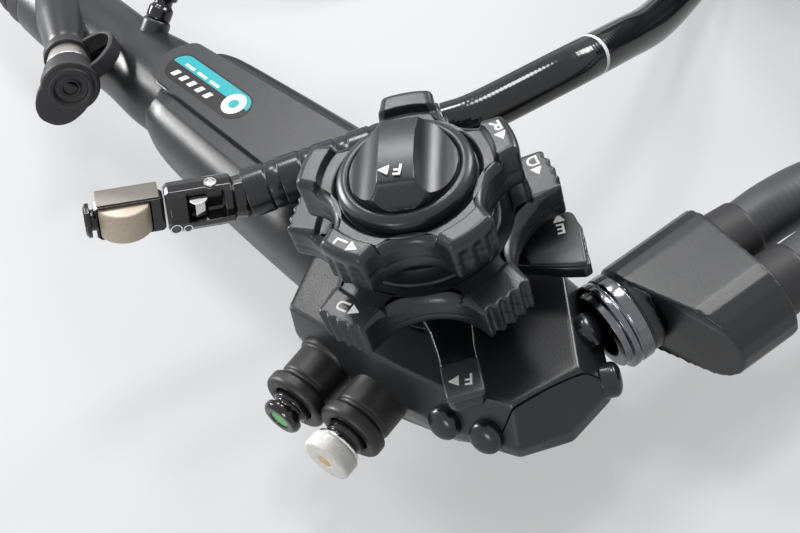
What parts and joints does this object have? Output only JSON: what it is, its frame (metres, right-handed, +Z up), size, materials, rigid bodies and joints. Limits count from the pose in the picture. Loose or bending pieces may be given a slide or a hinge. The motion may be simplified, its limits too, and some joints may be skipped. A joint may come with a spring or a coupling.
{
  "type": "flexible ultrasound endoscope",
  "caption": "Flexible endoscope lying down: control head with two stacked lobed knobs, valves, grip, instrument port, coiled insertion tube with a bending probe tip, and two umbilical cords",
  "frame": {"origin": "On the axis of the angulation knobs, in the flat bottom face of the control head, which lies on the table", "axes": "+Z is up the knob axis; +X runs along the grip towards the head's end cap; -Y points to the valves and +Y to the umbilical cords"},
  "size_m": [0.3514, 0.3584, 0.0809],
  "materials": {
    "shell": "fine-grained charcoal moulding",
    "knob": "satin charcoal moulding with white printing",
    "gloss": "glossy black",
    "rubber": "soft black rubber",
    "tube": "smooth black tube sheath with white rings",
    "steel": "brushed stainless steel",
    "white": "white button cap",
    "resin": "beige acoustic lens resin",
    "lens": "small dark glass lens"
  },
  "bodies": {
    "root": {"housing_front": "shell", "housing_back": "shell", "end_cap": "shell", "inner_frame": "steel", "lever_collar": "gloss", "suction_cylinder": "rubber", "air_water_cylinder": "rubber", "umbilical_ring": "steel", "branch_housing": "shell", "light_guide_boot": "rubber", "scan_cord_boot": "rubber", "grip_shell": "shell", "grip_panel": "shell", "neck_sleeve": "shell", "port_collar": "steel", "port_seal": "rubber", "jet_port": "steel", "tube_boot": "rubber", "bending_base": "rubber", "insertion_lead": "tube", "insertion_coil": "tube", "insertion_tube": "tube", "light_guide_cord": "tube", "light_guide_coil": "tube", "light_guide_tail": "tube", "light_guide_connector": "shell", "light_guide_plug": "steel", "scan_cord": "tube", "scan_coil": "tube", "scan_tail": "tube", "scan_connector": "shell", "scan_contact_block": "steel"},
    "ud_wheel": {"ud_knob": "knob", "ud_drum": "steel"},
    "rl_wheel": {"rl_knob": "knob", "rl_drum": "steel"},
    "rl_brake": {"rl_brake_dial": "knob"},
    "ud_brake": {"ud_brake_lever": "knob"},
    "elevator_arm": {"elevator_lever": "knob"},
    "suction_valve": {"suction_button": "gloss"},
    "air_water_valve": {"air_water_piston": "gloss", "air_water_cap": "white"},
    "remote_1": {"remote_button_1": "rubber"},
    "remote_2": {"remote_button_2": "rubber"},
    "remote_3": {"remote_button_3": "rubber"},
    "remote_4": {"remote_button_4": "rubber"},
    "plug_lock": {"connector_lock": "knob"},
    "link_1": {"bending_link_1": "rubber"},
    "link_2": {"bending_link_2": "rubber"},
    "link_3": {"bending_link_3": "rubber"},
    "link_4": {"bending_link_4": "rubber"},
    "link_5": {"bending_link_5": "rubber"},
    "tip": {"distal_body": "gloss", "transducer_housing": "gloss", "acoustic_lens": "resin", "objective_lens": "lens", "light_lens": "lens", "water_nozzle": "steel"},
    "tip_elevator": {"elevator": "steel"}
  },
  "joints": [
    {"name": "ud_knob_turn", "type": "hinge", "parent": "root", "child": "ud_wheel", "pos_m": [0, 0, 0.0466], "axis": [0, 0, 1], "range_deg": [-135, 90]},
    {"name": "rl_knob_turn", "type": "hinge", "parent": "root", "child": "rl_wheel", "pos_m": [0, 0, 0.0603], "axis": [0, 0, 1], "range_deg": [-135, 0]},
    {"name": "rl_brake_turn", "type": "hinge", "parent": "root", "child": "rl_brake", "pos_m": [0, 0, 0.0717], "axis": [0, 0, 1], "range_deg": [0, 60]},
    {"name": "ud_brake_turn", "type": "hinge", "parent": "root", "child": "ud_brake", "pos_m": [0, 0, 0.0363], "axis": [0, 0, 1], "range_deg": [-22, 0]},
    {"name": "elevator_lever_turn", "type": "hinge", "parent": "root", "child": "elevator_arm", "pos_m": [0, 0, 0.0403], "axis": [0, 0, 1], "range_deg": [0, 60]},
    {"name": "suction_press", "type": "slide", "parent": "root", "child": "suction_valve", "axis": [-0.1736, 0.9848, 0], "range_m": [0, 0.003], "stiffness_N_per_m": 400},
    {"name": "air_water_press", "type": "slide", "parent": "root", "child": "air_water_valve", "axis": [-0.1736, 0.9848, 0], "range_m": [0, 0.003], "stiffness_N_per_m": 400},
    {"name": "remote_1_press", "type": "slide", "parent": "root", "child": "remote_1", "axis": [-0.2273, 0.9118, -0.342], "range_m": [0, 0.0012], "stiffness_N_per_m": 900},
    {"name": "remote_2_press", "type": "slide", "parent": "root", "child": "remote_2", "axis": [-0.3214, 0.883, -0.342], "range_m": [0, 0.0012], "stiffness_N_per_m": 900},
    {"name": "remote_3_press", "type": "slide", "parent": "root", "child": "remote_3", "axis": [-0.5461, -0.699, -0.4617], "range_m": [0, 0.0012], "stiffness_N_per_m": 900},
    {"name": "remote_4_press", "type": "slide", "parent": "root", "child": "remote_4", "axis": [-0.6157, -0.788, 0], "range_m": [0, 0.0012], "stiffness_N_per_m": 900},
    {"name": "plug_lock_turn", "type": "hinge", "parent": "root", "child": "plug_lock", "pos_m": [-0.1463, 0.286, 0.0736], "axis": [0, 0, 1], "range_deg": [0, 90]},
    {"name": "bend_1_rl", "type": "hinge", "parent": "root", "child": "link_1", "pos_m": [-0.03393, 0.0245, 0.0403], "axis": [0.8829, -0.4695, 0], "range_deg": [-30.5, 0.5]},
    {"name": "bend_2_ud", "type": "hinge", "parent": "link_1", "child": "link_2", "pos_m": [-0.03816, 0.01655, 0.0403], "axis": [0, 0, 1], "range_deg": [-30.5, 20.5]},
    {"name": "bend_3_rl", "type": "hinge", "parent": "link_2", "child": "link_3", "pos_m": [-0.04238, 0.0086, 0.0403], "axis": [0.8829, -0.4695, 0], "range_deg": [-30.5, 0.5]},
    {"name": "bend_4_ud", "type": "hinge", "parent": "link_3", "child": "link_4", "pos_m": [-0.04661, 0.00066, 0.0403], "axis": [0, 0, 1], "range_deg": [-30.5, 20.5]},
    {"name": "bend_5_rl", "type": "hinge", "parent": "link_4", "child": "link_5", "pos_m": [-0.05084, -0.00729, 0.0403], "axis": [0.8829, -0.4695, 0], "range_deg": [-30.5, 0.5]},
    {"name": "bend_6_ud", "type": "hinge", "parent": "link_5", "child": "tip", "pos_m": [-0.05506, -0.01523, 0.0403], "axis": [0, 0, 1], "range_deg": [-30.5, 20.5]},
    {"name": "elevator_lift", "type": "hinge", "parent": "tip", "child": "tip_elevator", "pos_m": [-0.05629, -0.02414, 0.04447], "axis": [0.1136, 0.2136, 0.9703], "range_deg": [-0.5, 24.5]}
  ],
  "couplings": [
    {"joint": "bend_1_rl", "follows": "rl_knob_turn", "ratio": 0.2222},
    {"joint": "bend_2_ud", "follows": "ud_knob_turn", "ratio": 0.2222},
    {"joint": "bend_3_rl", "follows": "rl_knob_turn", "ratio": 0.2222},
    {"joint": "bend_4_ud", "follows": "ud_knob_turn", "ratio": 0.2222},
    {"joint": "bend_5_rl", "follows": "rl_knob_turn", "ratio": 0.2222},
    {"joint": "bend_6_ud", "follows": "ud_knob_turn", "ratio": 0.2222},
    {"joint": "elevator_lift", "follows": "elevator_lever_turn", "ratio": 0.4}
  ]
}
